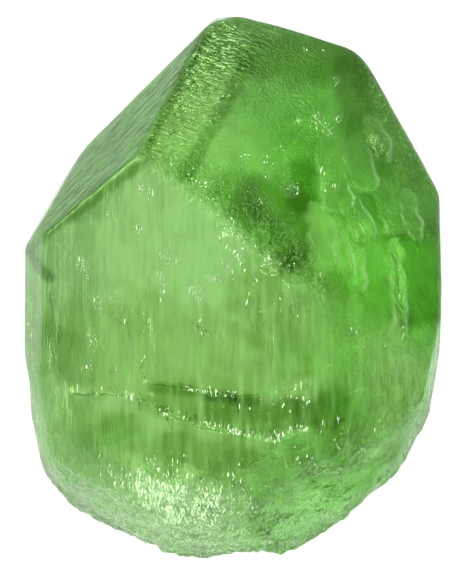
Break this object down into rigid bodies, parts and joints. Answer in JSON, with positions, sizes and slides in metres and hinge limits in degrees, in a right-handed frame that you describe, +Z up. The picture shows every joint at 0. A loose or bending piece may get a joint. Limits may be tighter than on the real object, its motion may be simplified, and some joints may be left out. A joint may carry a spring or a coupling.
{
  "type": "peridot crystal",
  "caption": "Stout see-through green gem crystal with a domed point, an etched strip, a broken ledge and a frosted broken base, lying on its flat back face.",
  "frame": {"origin": "middle of the crystal's box in plan, on the surface that its flat back face rests on", "axes": "+Y along the crystal's length towards its domed point, +X across it to the right, +Z up out of its large front face"},
  "size_m": [0.0152, 0.02, 0.0104],
  "materials": {
    "peridot": "see-through green gem, satin and finely etched on its growth faces, frosted where its base broke"
  },
  "bodies": {
    "root": {"peridot_crystal": "peridot"}
  },
  "joints": []
}
